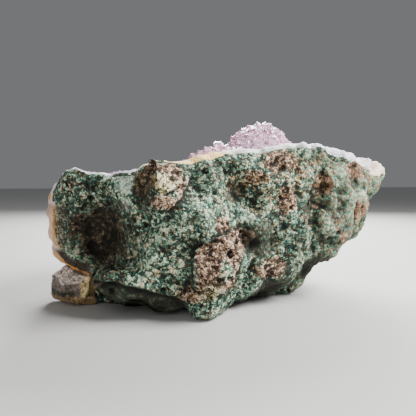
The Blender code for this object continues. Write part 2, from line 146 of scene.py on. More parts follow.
# The agate's bands from the basalt inwards, as (share of its depth, colour), both ends first.
AGATE_DEPTH = 5
AGATE_BANDS = ((0.0, "#8d8f90"), (1.0, "#dccfe2"), (0.2, "#f6f4ef"), (0.32, "#b4b8c1"),
               (0.44, "#efedec"), (0.6, "#bcbfca"), (0.74, "#f6f3f3"), (0.88, "#d3ccda"))
# The slab under the belly lies this far behind it.
UNDERCUT = 5.0
# Patches again: green left in the broken block, and the knobbly shoulder at the upper left.
GREEN_SPOT = (-21.2, 21.4, 2.7, 3.3, 1.3)
SHOULDER = (-74, 54, 14, 9, 1.0)
# How the skin stands out: where, the pattern, its size and its height in millimetres.
RELIEF = (
    ("skin", "CLOUDS", 13, 1.3), ("knobbly", "VORONOI", 7, -1.7), ("knobbly", "CLOUDS", 6, 1.3),
    ("skin", "CLOUDS", 4.2, 0.9), ("froth", "VORONOI", 3.1, 1.7), ("skin", "VORONOI", 2.3, -0.6),
    ("skin", "CLOUDS", 1.7, 0.9),
)
# Width of one of the skin's beads.
BEAD = 1.05
# Distances from the agate over which the stone's skin, and its smoothing, come in.
SKIN_FADE = (0.35, 1.6)
SMOOTHING_FADE = (0.45, 2.5)
# Where the agate is nearer than this, it hides the stone.
HIDDEN = 0.4
# How far the broken block and the knob stand out, and the height of the block's steps.
BLOCK_RISE = 1.8
BLOCK_STEP = 0.9
KNOB_RISE = 1.8
# How far back, as y, a point still counts as the front of the stone or as part of the lump.
FRONT = -15
LUMP_BACK = 2
# The lump is a block, (centre, size), cut by planes, each a normal and a point that it passes.
LUMP_BLOCK = ((-77.5, -5, 8.8), (24, 19, 16.4))
LUMP_PLANES = (
    ((-0.15, -0.97, -0.1), (-78, -13.8, 8)), ((-0.15, -0.5, 0.85), (-78, -13.4, 11.6)),
    ((-0.93, -0.32, 0.12), (-86, -10, 8)), ((-0.55, -0.4, -0.75), (-84, -11, 4.4)),
    ((0.42, -0.9, -0.06), (-76.2, -13.8, 9)), ((0.6, -0.2, 0.75), (-68.5, -8, 15)),
    ((0.1, -0.5, -0.87), (-78, -13, 3)), ((-0.6, -0.1, 0.8), (-84, -6, 15)),
)
LUMP_OUTLINE = ((-91, 5), (-86.8, 11.4), (-82.4, 16.2), (-74, 15), (-67.4, 14.8), (-70.6, 12),
                (-71, 4), (-74, 0.8), (-84, -2), (-91, -2))
# The stone's left end as seen from the front, from which its stained bands are measured.
FLANK = ((-90.6, 48), (-90.6, 27.4), (-89.4, 26.3), (-84.1, 20.5), (-80.7, 17.6), (-73, 15.5),
         (-40, 15.5), (-40, 75), (-89, 75))
# Patches on the shaded side below.
UNDERSIDE = ((8.5, 6.5, 8, 4.5, 1.3), (34, 14.5, 9, 5, 1.4), (0, 2.5, 12, 2.5, 1.0))
# The hollow at the left end: (x, z, half width, half height, added depth).
DEEP_HOLLOW = (-66.5, 32.5, 10, 14.4, 2.3)
# Broken flat faces of the knob and the block, as planes like the lump's, and the knob's peak:
# (x, z, radius, height).
KNOB_PLANES = (((-0.9, -0.42, 0.12), (-51, -43, 55)), ((0.12, -1.0, 0.22), (-45, -50, 55)),
               ((0.15, -0.3, 1.0), (-44, -46, 62.6)))
BLOCK_PLANE = ((-0.35, -1.0, 0.3), (-27, -53.2, 27))
KNOB_PEAK = (-49.4, 62.5, 5, 1.6)
# Stains of the left end, which run over the basalt's edge and the agate.
CHALK, OCHRE, DUSK, WORN = "#cfae98", "#c48c42", "#41342a", "#7f6a55"
# The agate's edge rises towards the right end, (start, full height at, height), and dips
# behind the knob, (middle, half width, depth).
AGATE_RISE = (64, 78, 1.6)
AGATE_DIP = (-46, 9, 0.7)
# The middle of the crystals' mound, as (x, y).
MOUND = (18, 0)
# Below this height the crystals turn violet towards the bottom of the bowl, over this depth.
BOWL_EDGE = 72
BOWL_DEPTH = 22
# The crystals' bed is raised behind the agate's cream stretch and on the mound:
# (x, y, half length, half width, soft share, height).
BED_RISES = ((-20, -26, 21, 7, 0.8, 3.0), (14, 0, 28, 18, 0.55, 1.7))
# A crystal's length before it is cut and stretched, and the least distance between the feet
# of two crystals on the bed and in one group, as shares of their radii.
CRYSTAL_LENGTH = 4
CRYSTAL_SPACING = 0.62
GROUP_SPACING = 1.875
ROOM_COLOUR = (0.8, 0.82, 0.85, 1)
ROOM_LIGHT = 0.22


def millimetres(name, description, size, least):
    """A setting for a length, whose default and least size are given in millimetres."""
    return FloatProperty(name=name, description=description, unit="LENGTH", default=size * MM,
                         min=least * MM, precision=5)


def hex_colour(name, description, code):
    """A setting for a colour, whose default is given as an sRGB hex code."""
    return FloatVectorProperty(name=name, description=description, subtype="COLOR",
                               default=linear(code))


class BasaltSettings(bpy.types.PropertyGroup):
    mesh_step: millimetres("Mesh step", "Width of one face of the stone's skin", 0.72, 0.4)
    hidden_share: FloatProperty(
        name="Hidden faces", description="Share of the faces that stay where the agate hides them",
        subtype="FACTOR", default=0.06, min=0.01, max=1)
    pits: IntProperty(
        name="Pits", description="Gas holes scattered over the whole stone", default=150, min=0)
    green: hex_colour("Celadonite", "Green of most of the skin's beads", "#4a7f6c")
    tan: hex_colour("Tan", "Colour of the skin's other beads", "#7e6a4b")
    brown: hex_colour("Basalt", "Brown of the broken, bare basalt", "#8a694f")
    rust: hex_colour("Rust", "Orange of the iron stains", "#a5733a")
    cream: hex_colour("Cream", "Pale yellow of the crust in a few places", "#b3a46c")


class AgateSettings(bpy.types.PropertyGroup):
    mesh_step: millimetres("Mesh step", "Width of one face of the agate's surface", 0.76, 0.4)
    cream: hex_colour("Cream", "Colour of the cream stretch of the band", "#efcb80")
    ochre: hex_colour("Ochre", "Colour of the iron lines at the left end", OCHRE)


class AmethystSettings(bpy.types.PropertyGroup):
    crystals: IntProperty(
        name="Crystals", description="Largest number of crystals on the bed", default=4400,
        min=1)
    widest: millimetres("Widest", "Radius of the widest crystals", 2.9, 0.5)
    narrowest: millimetres("Narrowest", "Radius of the narrowest crystals", 1.1, 0.3)
    sunk: millimetres("Sunk", "How far the bed lies below the tips", 1.9, 0)
    tint: hex_colour("Amethyst", "Colour that is left after light has crossed a crystal", "#dd9fc4")
    deep: hex_colour("Deep violet", "Colour of the crystals' tips down in the bowl", "#b48ccc")
    depth: FloatProperty(
        name="Depth of colour", description="How strongly each metre of crystal takes up light",
        default=60.0, min=0.0)


class StageSettings(bpy.types.PropertyGroup):
    floor: FloatProperty(
        name="Floor", description="Width of the floor", unit="LENGTH", default=8.0, min=0.5)
    key: FloatProperty(name="Key light", description="Power of the key light in watts", default=7.0)


def only(*pieces):
    """Selects these pieces and nothing else; the last is the active one."""
    bpy.ops.object.select_all(action="DESELECT")
    for piece in pieces:
        piece.select_set(True)
        bpy.context.view_layer.objects.active = piece


def node_copy(node, name):
    """A merged copy of a CAD node, which itself is left alone."""
    piece = bpy.data.objects.new(name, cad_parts[node].data.copy())
    bpy.context.scene.collection.objects.link(piece)
    piece.data.materials.clear()
    only(piece)
    bpy.ops.object.mode_set(mode="EDIT")
    bpy.ops.mesh.select_all(action="SELECT")
    bpy.ops.mesh.remove_doubles(threshold=0.005 * MM)
    bpy.ops.object.mode_set(mode="OBJECT")
    return piece


def shape_with(piece, kind, **settings):
    """Adds a modifier with these settings and applies it."""
    only(piece)
    modifier = piece.modifiers.new(kind.title(), kind)
    for name, value in settings.items():
        setattr(modifier, name, value)
    bpy.ops.object.modifier_apply(modifier=modifier.name)


def roughen(piece, group, pattern, size, height):
    """Moves the skin in and out by a solid pattern of this size, as far as its height."""
    texture = bpy.data.textures.new("relief", pattern)
    texture.noise_scale = size * MM
    shape_with(piece, "DISPLACE", texture=texture, texture_coords="LOCAL",
               strength=height * MM, mid_level=0.5, vertex_group=group)
    bpy.data.textures.remove(texture)


def read(piece, what="co"):
    """The piece's points, or their normals, as rows of three numbers."""
    flat = np.empty(len(piece.data.vertices) * 3, np.float32)
    piece.data.vertices.foreach_get(what, flat)
    return flat.reshape(-1, 3).astype(float)


def write(piece, points):
    piece.data.vertices.foreach_set("co", points.astype(np.float32).ravel())
    piece.data.update()


def attribute(piece, name, values):
    """Keeps one number for each point, for the material to read."""
    made = piece.data.attributes.new(name, "FLOAT", "POINT")
    made.data.foreach_set("value", np.clip(values, 0, 1).astype(np.float32))


def colour_attribute(piece, name, colours):
    """Keeps one colour for each point, for the material to read."""
    made = piece.data.attributes.new(name, "FLOAT_COLOR", "POINT")
    opaque = np.ones((len(colours), 1))
    made.data.foreach_set("color", np.hstack((colours, opaque)).astype(np.float32).ravel())


def group(piece, name, weights):
    """A vertex group with these weights, in steps of a tenth."""
    made = piece.vertex_groups.new(name=name)
    steps = np.round(np.clip(weights, 0, 1) * 10).astype(int)
    for step in range(1, 11):
        made.add(np.flatnonzero(steps == step).tolist(), step / 10, "REPLACE")


def hollows(piece, rounds):
    """How far each point lies below its surroundings, in millimetres.

    In each round every point takes its neighbours' mean place, so more rounds reach further.
    """
    points = read(piece)
    pairs = np.empty(len(piece.data.edges) * 2, np.int32)
    piece.data.edges.foreach_get("vertices", pairs)
    a, b = pairs.reshape(-1, 2).T
    count = len(points)
    many = np.maximum(np.bincount(a, minlength=count) + np.bincount(b, minlength=count), 1)
    means = points
    for _ in range(rounds):
        columns = [np.bincount(a, column[b], count) + np.bincount(b, column[a], count)
                   for column in means.T]
        means = np.stack(columns, 1) / many[:, None]
    return ((means - points) * read(piece, "normal")).sum(1) / MM


def noise_at(points, size, seed=0.0):
    """A smooth pattern from -1 to 1 at each point; its lumps are about size millimetres."""
    scale = 1 / (size * MM)
    shift = Vector((seed * 7.1, seed * 3.7, seed * 5.3))
    return np.array([noise.noise(Vector(point) * scale + shift) for point in points])


def surface(mesh):
    """A mesh's surface, ready to be searched for its nearest point or along a line."""
    return BVHTree.FromPolygons([v.co for v in mesh.vertices], [p.vertices for p in mesh.polygons])


def cloud(points):
    """These points, ready to be searched for the nearest ones."""
    tree = KDTree(len(points))
    for number, point in enumerate(points):
        tree.insert(point, number)
    tree.balance()
    return tree


def distances(points, node):
    """Distance from each point to a CAD node's surface, in millimetres."""
    nearest = surface(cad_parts[node].data).find_nearest
    return np.array([nearest(point)[3] for point in points]) / MM


def smooth_step(value, low, high):
    share = np.clip((value - low) / (high - low), 0, 1)
    return share * share * (3 - 2 * share)


def strip(value, low, high):
    """1 between low and high, soft over the last half millimetre on each side."""
    soft = 0.25
    return (smooth_step(value, low - soft, low + soft)
            * smooth_step(-value, -high - soft, soft - high))


def flank_bands(points):
    """The bands along the left end's broken edge: chalky pink, ochre, dusky and worn brown."""
    x, y, z = (points / MM).T
    # Each band lies between two distances in from the end's outline.
    inwards = inside_outline(x, z, FLANK) + noise_at(points, 4, 51) * 0.7
    front = smooth_step(-x, 70, 74) * smooth_step(-y, 3, 6)
    middle = front * smooth_step(z, 25.5, 28) * smooth_step(48 - z, 0, 3)
    low = front * smooth_step(27.5 - z, 0, 2.5)
    top = front * smooth_step(z, 45, 48)
    chalk = middle * smooth_step(3.1 - inwards, 0, 0.5)
    ochre = (middle * strip(inwards, 2.8, 4.2) + low * strip(inwards, -0.9, 0.9)
             + top * strip(inwards, 0.4, 2.0))
    worn = middle * smooth_step(inwards, 4, 4.5) * smooth_step(9.5 - inwards, 0, 4)
    return chalk, ochre, low * strip(inwards, 0.7, 4.4), worn


def blended(colours, *layers):
    """Colours, one for each point, with these layers of (weight, sRGB code) over them."""
    for weight, code in layers:
        share = np.clip(weight, 0, 1)[:, None]
        colours = colours * (1 - share) + np.array(linear(code)) * share
    return colours


def patch_weight(x, z, patches):
    """The strongest of these patches at each place, soft towards its edge."""
    weight = np.zeros(len(x))
    for centre_x, centre_z, wide, high, strength in patches:
        reach = np.hypot((x - centre_x) / wide, (z - centre_z) / high)
        weight = np.maximum(weight, strength * np.clip(1.55 - reach, 0, 1))
    return weight


def inside_outline(x, z, outline):
    """Distance to a closed outline, positive inside it."""
    best = np.full(len(x), 1e9)
    within = np.zeros(len(x), bool)
    for (x0, z0), (x1, z1) in zip(outline, outline[1:] + outline[:1]):
        dx, dz = x1 - x0, z1 - z0
        share = np.clip(((x - x0) * dx + (z - z0) * dz) / (dx * dx + dz * dz), 0, 1)
        best = np.minimum(best, np.hypot(x - x0 - share * dx, z - z0 - share * dz))
        if dz:
            crosses = ((z0 > z) != (z1 > z)) & (x < x0 + (z - z0) / dz * dx)
            within ^= crosses
    return np.where(within, best, -best)


def press_flat(points, weight, normal, through):
    """Where weight is, what stands out past a plane is pressed back onto it."""
    normal = np.array(normal) / np.linalg.norm(normal)
    beyond = np.maximum((points - np.array(through) * MM) @ normal, 0)
    return points - (beyond * weight)[:, None] * normal


def add(tree, kind, links=None, stops=None, **settings):
    """Adds a shader node, with its settings, its inputs' values or links, and its ramp's stops."""
    made = tree.nodes.new("ShaderNode" + kind)
    for name, value in settings.items():
        setattr(made, name, value)
    for name, value in (links or {}).items():
        if isinstance(value, bpy.types.Node):
            value = value.outputs[0]
        if isinstance(value, bpy.types.NodeSocket):
            tree.links.new(value, made.inputs[name])
        else:
            made.inputs[name].default_value = value
    for number, (place, tint) in enumerate(stops or ()):
        # A new ramp already has two stops, which the first two given here move.
        ramp = made.color_ramp.elements
        stop = ramp[number] if number < 2 else ramp.new(place)
        stop.position = place
        stop.color = (*tint, 1)
    return made


def tones(middle, palest):
    """A ramp's stops: a dark brown end, for dark grains and painted shade, then the colour itself
    half way up, then its palest.
    """
    dirt_and_shade, middle, palest = Vector(linear("#14110b")), Vector(middle), Vector(linear(palest))
    shares = ((0.0, 0.0), (1.0, 2.0), (0.2, 0.1), (0.38, 0.4), (0.55, 1.0), (0.7, 1.3),
              (0.85, 1.65))
    return [(place, tuple(dirt_and_shade.lerp(middle, share) if share <= 1
                          else middle.lerp(palest, share - 1))) for place, share in shares]


def new_material(name):
    """An empty node material and its tree."""
    material = bpy.data.materials.new(name)
    material.use_nodes = True
    material.node_tree.nodes.clear()
    return material, material.node_tree


def settle(piece, material, slot, *nodes):
    """The finished piece lies on the floor, stands for its CAD nodes and rides on the body."""
    points = read(piece)
    points[:, 2] = np.maximum(points[:, 2], 0)
    write(piece, points)
    piece.data.materials.clear()
    piece.data.materials.append(material)
    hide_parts(*nodes)
    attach(piece, BODY)


def celadonite(tree, place, tone, contrast, warmth, settings):
    """The skin of tiny dull beads, green or tan: its colour and the patterns that make it."""
    # Beads of about 1 mm, twice the real ones, so that they show in the render.
    beads = add(tree, "TexVoronoi", {"Vector": place, "Scale": 1 / (BEAD * MM)})
    chance = add(tree, "SeparateColor", {"Color": beads.outputs["Color"]})
    dust = add(tree, "TexNoise", {"Vector": place, "Scale": 1 / (0.5 * MM), "Detail": 1.0})
    clots = add(tree, "TexNoise", {"Vector": place, "Scale": 1 / (2 * MM), "Detail": 2.0})
    grain = -1.12
    for source, weight in ((chance.outputs[0], 0.6), (dust, 1.1), (clots, 0.8),
                           (beads.outputs["Distance"], -0.3)):
        grain = add(tree, "Math", {0: source, 1: weight, 2: grain}, operation="MULTIPLY_ADD")
    shade = add(tree, "Math", {0: grain, 1: contrast, 2: tone}, operation="MULTIPLY_ADD")
    green = add(tree, "ValToRGB", {"Fac": shade}, stops=tones(settings.green, "#d3e8c8"))
    tan = add(tree, "ValToRGB", {"Fac": shade}, stops=tones(settings.tan, "#e6dfbd"))
    mixed = add(tree, "Math", {0: warmth, 1: 0.3, 2: chance.outputs[1]}, operation="MULTIPLY_ADD")
    mixed = add(tree, "MapRange", {"Value": mixed, "From Min": 0.5, "From Max": 0.86,
                                   "To Max": 0.85})
    skin = add(tree, "Mix", {0: mixed, 6: green, 7: tan}, data_type="RGBA")
    return skin.outputs[2], {"shade": shade, "clots": clots, "dust": dust,
                             "bead": beads.outputs["Distance"], "one": chance.outputs[2]}


def celadonite_basalt(settings):
    """Vesicular basalt with a skin of celadonite, as it was pried from the rock.

    The skin is a crust of tiny dull green beads; where it is rubbed off, brown porous rock shows.
    """
    material, tree = new_material("Celadonite-skinned basalt, rough")
    place = add(tree, "TexCoord").outputs["Object"]
    masks = {name: add(tree, "Attribute", attribute_name=name).outputs["Fac"]
             for name in (*PATCHES, "hollow", "slab", "calm", "bare")}
    drift = add(tree, "TexNoise", {"Vector": place, "Scale": 1 / (8 * MM), "Detail": 3.0})
    # The tone takes painted shade from the hollows, the dark patches and the slab.
    tone = 0.28
    for source, weight in ((drift, 0.5), (masks["hollow"], -0.35), (masks["pale"], 0.22),
                           (masks["dark"], -0.1), (masks["slab"], -0.1), (masks["bloom"], 0.16),
                           (masks["cream"], 0.05)):
        tone = add(tree, "Math", {0: source, 1: weight, 2: tone}, operation="MULTIPLY_ADD")
    contrast = 1.25
    for name, weight in (("calm", -0.93), ("slab", -0.6), ("dark", -0.35), ("brown", 0.12),
                         ("cream", 0.35)):
        contrast = add(tree, "Math", {0: masks[name], 1: weight, 2: contrast},
                       operation="MULTIPLY_ADD")
    skin, looks = celadonite(tree, place, tone, contrast, masks["calm"], settings)
    shade = looks["shade"]
    for name, middle, palest in (("brown", settings.brown, "#e9d0b6"),
                                 ("cream", settings.cream, "#fbf4d8")):
        bare = add(tree, "ValToRGB", {"Fac": shade}, stops=tones(middle, palest))
        edge = add(tree, "Math", {0: looks["clots"], 1: 1.5, 2: masks[name]},
                   operation="MULTIPLY_ADD")
        cover = add(tree, "MapRange", {"Value": edge, "From Min": 1.17, "From Max": 1.33})
        skin = add(tree, "Mix", {0: cover, 6: skin, 7: bare}, data_type="RGBA").outputs[2]
    # Single beads and small spots are stained orange by iron.
    rusty = add(tree, "ValToRGB", {"Fac": shade}, stops=tones(settings.rust, "#ead9ae"))
    stain = looks["one"]
    for source, weight in ((masks["rust"], 0.5), (drift, 0.6)):
        stain = add(tree, "Math", {0: source, 1: weight, 2: stain}, operation="MULTIPLY_ADD")
    stain = add(tree, "MapRange", {"Value": stain, "From Min": 1.27, "From Max": 1.45,
                                   "To Max": 0.85})
    skin = add(tree, "Mix", {0: stain, 6: skin, 7: rusty}, data_type="RGBA").outputs[2]
    # A chalky bloom lies in flecks over the skin in a few places.
    flecks = add(tree, "Math", {0: looks["clots"], 1: 1.6, 2: masks["bloom"]},
                 operation="MULTIPLY_ADD")
    bloom = add(tree, "MapRange", {"Value": flecks, "From Min": 1.0, "From Max": 1.9,
                                   "To Max": 0.45})
    skin = add(tree, "Mix", {0: bloom, 6: skin, 7: (*linear("#becac0"), 1)},
               data_type="RGBA").outputs[2]
    # Painted shade darkens the hollows, the slab and the underside, and the dark patches, which are
    # mostly painted shade and partly darker skin.
    dirt_and_shade, depth = 0.0, 1.15
    for name, cover, darker in (("hollow", 0.0, -0.6), ("dark", 0.55, -0.35), ("slab", 0.6, -0.35)):
        dirt_and_shade = add(tree, "Math", {0: masks[name], 1: cover, 2: dirt_and_shade}, operation="MULTIPLY_ADD")
        depth = add(tree, "Math", {0: masks[name], 1: darker, 2: depth}, operation="MULTIPLY_ADD")
    skin = add(tree, "Mix", {0: dirt_and_shade, 6: skin, 7: (*linear("#3a3827"), 1)},
               data_type="RGBA").outputs[2]
    depth = add(tree, "Clamp", {"Value": depth, "Min": 0.2})
    skin = add(tree, "Mix", {0: 1.0, 6: skin, 7: depth}, data_type="RGBA",
               blend_type="MULTIPLY").outputs[2]
    # The lump and the edge at the left end are bare chalcedony, stained in bands.
    bare = add(tree, "Attribute", attribute_name="bare_colour").outputs["Color"]
    # The grain and the painted shade of the skin darken the bare colour too.
    grain_and_shade = add(tree, "MapRange", {"Value": shade, "To Min": 0.35, "To Max": 1.65})
    bare = add(tree, "Mix", {0: 1.0, 6: bare, 7: grain_and_shade}, data_type="RGBA",
               blend_type="MULTIPLY")
    paint = add(tree, "Mix", {0: masks["bare"], 6: skin, 7: bare.outputs[2]}, data_type="RGBA")
    height = add(tree, "Math", {0: looks["bead"], 1: -0.8, 2: looks["dust"]},
                 operation="MULTIPLY_ADD")
    bump = add(tree, "Bump", {"Height": height, "Strength": 1.0, "Distance": 0.5 * MM})
    rough = add(tree, "MapRange", {"Value": looks["dust"], "To Min": 0.6, "To Max": 1.0})
    shader = add(tree, "BsdfPrincipled", {
        "Base Color": paint.outputs[2], "Roughness": rough, "Normal": bump, "IOR": 1.5,
        "Specular IOR Level": 0.35})
    add(tree, "OutputMaterial", {"Surface": shader})
    return material


def banded_agate(settings, skin_settings):
    """Banded agate, broken across: white and grey bands, waxy, stained by iron in places."""
    material, tree = new_material("Banded agate, broken")
    place = add(tree, "TexCoord").outputs["Object"]
    masks = {name: add(tree, "Attribute", attribute_name=name).outputs["Fac"]
             for name in ("depth", "cream", "blush", "ochre", "dusk", "hollow", "coat")}
    wave = add(tree, "TexNoise", {"Vector": place, "Scale": 1 / (5 * MM), "Detail": 4.0})
    grain = add(tree, "TexNoise", {"Vector": place, "Scale": 1 / (0.8 * MM), "Detail": 3.0})
    depth = add(tree, "Math", {0: wave, 1: 0.25, 2: masks["depth"]}, operation="MULTIPLY_ADD")
    bands = add(tree, "ValToRGB", {"Fac": depth},
                stops=[(where, linear(code)) for where, code in AGATE_BANDS])
    paint = bands
    for name, tint in (("cream", settings.cream), ("blush", linear(CHALK)),
                       ("dusk", linear(DUSK)), ("ochre", settings.ochre)):
        paint = add(tree, "Mix", {0: masks[name], 6: paint, 7: (*tint, 1)},
                    data_type="RGBA").outputs[2]
    # Painted shade darkens the agate's hollows; the grain adds flecks, most in the cream stretch.
    shadow = 0.84
    crumbly = add(tree, "Math", {0: grain, 1: 0.5}, operation="SUBTRACT")
    crumbly = add(tree, "Math", {0: crumbly, 1: masks["cream"]}, operation="MULTIPLY")
    for source, weight in ((masks["hollow"], -0.6), (grain, 0.5), (crumbly, 2.0)):
        shadow = add(tree, "Math", {0: source, 1: weight, 2: shadow}, operation="MULTIPLY_ADD")
    paint = add(tree, "Mix", {0: 1.0, 6: paint, 7: shadow}, data_type="RGBA",
                blend_type="MULTIPLY").outputs[2]
    # The green skin reaches over the agate's outer side.
    skin, looks = celadonite(tree, place, tone=0.42, contrast=0.9, warmth=0.3,
                             settings=skin_settings)
    edge = add(tree, "Math", {0: looks["clots"], 1: 1.2, 2: masks["coat"]},
               operation="MULTIPLY_ADD")
    coat = add(tree, "MapRange", {"Value": edge, "From Min": 1.05, "From Max": 1.2})
    paint = add(tree, "Mix", {0: coat, 6: paint, 7: skin}, data_type="RGBA").outputs[2]
    rough = add(tree, "MapRange", {"Value": coat, "To Min": 0.38, "To Max": 0.85})
    rough = add(tree, "Math", {0: masks["cream"], 1: 0.4, 2: rough}, operation="MULTIPLY_ADD")
    bump = add(tree, "Bump", {"Height": grain, "Strength": 0.5, "Distance": 0.25 * MM})
    shader = add(tree, "BsdfPrincipled", {
        "Base Color": paint, "Roughness": rough, "IOR": 1.54, "Normal": bump})
    add(tree, "OutputMaterial", {"Surface": shader})
    return material


def amethyst(settings):
    """Amethyst, natural faces: glassy and see-through, its violet deeper where it is thicker."""
    material, tree = new_material("Amethyst, natural crystal faces")
    place = add(tree, "TexCoord").outputs["Object"]
    growth = add(tree, "TexNoise", {"Vector": place, "Scale": 1 / (1.2 * MM), "Detail": 2.0})
    bump = add(tree, "Bump", {"Height": growth, "Strength": 0.12, "Distance": 0.1 * MM})
    # Down in the bowl the tips are a deeper violet; on the mound and the edge they are pinkish.
    low = add(tree, "Attribute", attribute_name="low")
    patchy = add(tree, "TexNoise", {"Vector": place, "Scale": 1 / (9 * MM), "Detail": 2.0})
    low = add(tree, "Math", {0: patchy, 1: 0.5, 2: low.outputs["Fac"]}, operation="MULTIPLY_ADD")
    low = add(tree, "MapRange", {"Value": low, "From Min": 0.3, "From Max": 1.1})
    tips = add(tree, "Mix", {0: low, 6: (*linear("#fbdcec"), 1), 7: (*settings.deep, 1)},
               data_type="RGBA")
    shader = add(tree, "BsdfPrincipled", {
        "Base Color": tips.outputs[2], "Roughness": 0.12, "IOR": 1.544,
        "Transmission Weight": 0.52, "Normal": bump})
    inside = add(tree, "VolumeAbsorption", {
        "Color": (*settings.tint, 1), "Density": settings.depth})
    add(tree, "OutputMaterial", {"Surface": shader, "Volume": inside})
    return material


class STONE_OT_basalt(bpy.types.Operator):
    """Models the green-skinned basalt with its knobs, broken block and gas holes"""

    bl_idname = "stone.basalt"
    bl_label = "Basalt matrix"

    def execute(self, context):
        settings = context.scene.basalt_settings
        piece = node_copy("basalt_matrix", "basalt_stone")
        self.join_lump(piece)
        shape_with(piece, "REMESH", mode="VOXEL", voxel_size=settings.mesh_step,
                   use_smooth_shade=True)
        points = read(piece)
        contact = distances(points, "agate_rind")
        x, y, z = (points / MM).T
        # No agate touches the lump, so its skin is shaped like the rest.
        on_lump = (inside_outline(x, z, LUMP_OUTLINE) > 0) & (y < LUMP_BACK)
        contact[on_lump] = contact.max()
        group(piece, "smoothed", smooth_step(contact, *SMOOTHING_FADE))
        shape_with(piece, "SMOOTH", factor=0.5, iterations=20, vertex_group="smoothed")
        skin = smooth_step(contact, *SKIN_FADE)
        self.carve_forms(piece, skin)
        self.mark_reliefs(piece, skin)
        for where, pattern, size, height in RELIEF:
            roughen(piece, where, pattern, size, height)
        self.open_pits(piece, skin, settings.pits)
        self.thin_hidden(piece, contact, settings.hidden_share)
        self.paint_masks(piece)
        settle(piece, celadonite_basalt(settings), "basalt", "basalt_matrix")
        return {"FINISHED"}

    def join_lump(self, piece):
        """The broken lump at the low left end, a block cut by planes, which the remesh fuses."""
        bpy.ops.object.select_all(action="DESELECT")
        centre, size = LUMP_BLOCK
        bpy.ops.mesh.primitive_cube_add(size=1, location=Vector(centre) * MM,
                                        scale=Vector(size) * MM)
        block = bpy.context.object
        bpy.ops.object.transform_apply()
        bpy.ops.object.mode_set(mode="EDIT")
        for normal, through in LUMP_PLANES:
            bpy.ops.mesh.select_all(action="SELECT")
            bpy.ops.mesh.bisect(plane_co=Vector(through) * MM, plane_no=normal, use_fill=True,
                                clear_outer=True)
        bpy.ops.mesh.select_all(action="SELECT")
        bpy.ops.mesh.bevel(offset=0.5 * MM, segments=1)
        bpy.ops.object.mode_set(mode="OBJECT")
        only(block, piece)
        bpy.ops.object.join()

    def carve_forms(self, piece, skin):
        """The broken block and the rusty knob stand proud of the skin, with crisp edges."""
        points, normals = read(piece), read(piece, "normal")
        x, y, z = (points / MM).T
        front = smooth_step(-normals[:, 1], 0.0, 0.35) * (y < FRONT + 3) * skin
        wobble = noise_at(points, 3.2) * 1.1
        block = smooth_step(inside_outline(x, z, BLOCK_OUTLINE) + wobble, -0.2, 0.7) * front
        knob = smooth_step(inside_outline(x, z, KNOB_OUTLINE) + wobble, -0.2, 1.1) * front
        steps = smooth_step(noise_at(points, 6, 3), -0.1, 0.1)
        # The block sinks into the skin towards its right end.
        slope = np.clip((-6 - x) / 20, 0.25, 1)
        outwards = block * (BLOCK_RISE + BLOCK_STEP * steps) * slope + knob * KNOB_RISE
        points += normals * (outwards * MM)[:, None]
        for plane in KNOB_PLANES:
            points = press_flat(points, knob, *plane)
        points = press_flat(points, block, *BLOCK_PLANE)
        middle_x, middle_z, wide, high = KNOB_PEAK
        peak = smooth_step(1 - np.hypot(x - middle_x, z - middle_z) / wide, 0, 1) * knob
        points[:, 2] += peak * high * MM
        # The hollow at the left end has a crisp upper edge.
        middle_x, middle_z, wide, high, deep = DEEP_HOLLOW
        reach = np.hypot((x - middle_x) / wide, (z - middle_z) / high)
        upper = smooth_step(z, middle_z, middle_z + high)
        hollow = smooth_step(1 - reach, 0, 0.5 - 0.3 * upper) * front
        points[:, 1] += hollow * deep * MM
        # Under the belly the stone falls back to a smooth slab.
        slab = smooth_step(inside_outline(x, z, SLAB_OUTLINE) + wobble * 0.4, -0.3, 1.2) * front
        points[:, 1] += slab * np.clip((-34 - x) / 16, 0, 1) * UNDERCUT * MM
        write(piece, points)

    def mark_reliefs(self, piece, skin):
        """Groups of points: all the skin, its knobbly stretches and its frothy broken places."""
        points, normals = read(piece), read(piece, "normal")
        x, y, z = (points / MM).T
        front = smooth_step(-normals[:, 1], -0.3, 0.15) * (y < 0)
        slab = smooth_step(inside_outline(x, z, SLAB_OUTLINE), -0.5, 1.5) * front
        lump = smooth_step(inside_outline(x, z, LUMP_OUTLINE), -1, 1) * (y < LUMP_BACK)
        plain = np.maximum(slab * 0.6, lump * 0.9)
        froth = np.maximum(patch_weight(x, z, PATCHES["brown"]) * 0.5,
                           smooth_step(inside_outline(x, z, BLOCK_OUTLINE), -0.5, 1)) * front
        knobbly = np.maximum(patch_weight(x, z, (SHOULDER,)), smooth_step(x, -16, 4) * 0.75)
        knobbly = np.maximum(knobbly * front, (1 - front) * 0.8)
        above = smooth_step(z, 0.2, 2.2)
        group(piece, "skin", skin * (1 - plain) * above)
        group(piece, "froth", froth * skin * above)
        group(piece, "knobbly", knobbly * skin * (1 - plain) * above)

    def thin_hidden(self, piece, contact, share):
        """Fewer faces where the agate hides the stone, which leaves more for what shows."""
        only(piece)
        hidden = contact < HIDDEN
        piece.data.vertices.foreach_set("select", hidden)
        corners = np.empty(len(piece.data.edges) * 2, np.int32)
        piece.data.edges.foreach_get("vertices", corners)
        piece.data.edges.foreach_set("select", hidden[corners].reshape(-1, 2).all(1))
        piece.data.polygons.foreach_set(
            "select", [all(hidden[i] for i in face.vertices) for face in piece.data.polygons])
        bpy.ops.object.mode_set(mode="EDIT")
        bpy.ops.mesh.select_mode(type="FACE")
        bpy.ops.mesh.decimate(ratio=share)
        bpy.ops.object.mode_set(mode="OBJECT")

